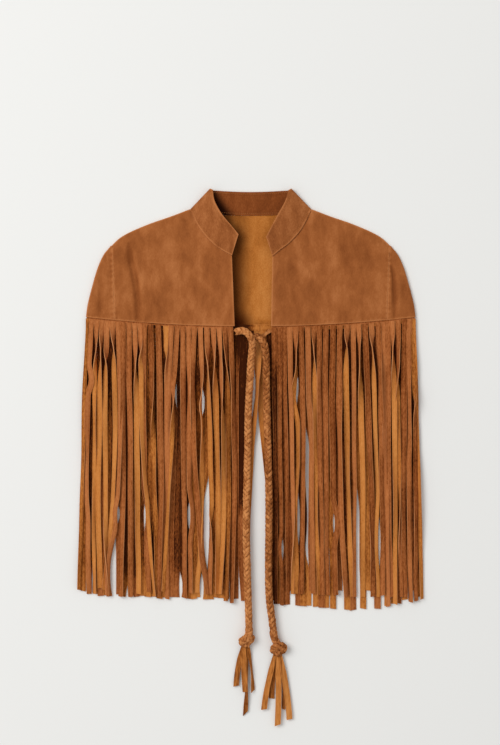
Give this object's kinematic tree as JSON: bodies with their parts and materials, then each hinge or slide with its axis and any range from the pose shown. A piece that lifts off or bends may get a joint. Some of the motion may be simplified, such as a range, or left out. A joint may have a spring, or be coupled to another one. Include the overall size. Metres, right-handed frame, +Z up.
{
  "type": "fringed cape",
  "caption": "Suede shoulder cape laid flat, with a stand collar, an open front, long cut fringe round the hem and two braided tie cords with knotted tassel ends.",
  "frame": {"origin": "on the surface the cape lies on, under the middle of the footprint of the cape without its ties", "axes": "+Y from the fringe towards the collar, +X across the cape to the viewer's right as it lies, +Z up off the surface"},
  "size_m": [0.5604, 0.862, 0.027],
  "materials": {
    "suede_outside": "brushed suede, matt",
    "suede_inside": "flesh side of the suede, matt",
    "collar_suede": "brushed suede, matt",
    "fringe_suede": "brushed suede, matt",
    "braid": "braided suede thong"
  },
  "bodies": {
    "root": {"back_yoke": "suede_inside", "front_yoke_left": "suede_outside", "front_yoke_right": "suede_outside", "shoulder_cap_left": "suede_outside", "shoulder_cap_right": "suede_outside", "collar": "collar_suede", "fringe_front_left": "fringe_suede", "fringe_front_right": "fringe_suede", "fringe_back_left": "suede_inside", "fringe_back_right": "suede_inside", "tie_cord_left": "braid", "tie_cord_right": "braid", "tie_knot_left": "braid", "tie_knot_right": "braid", "tie_tassel_left": "suede_inside", "tie_tassel_right": "suede_inside", "tie_tab": "fringe_suede"}
  },
  "joints": []
}
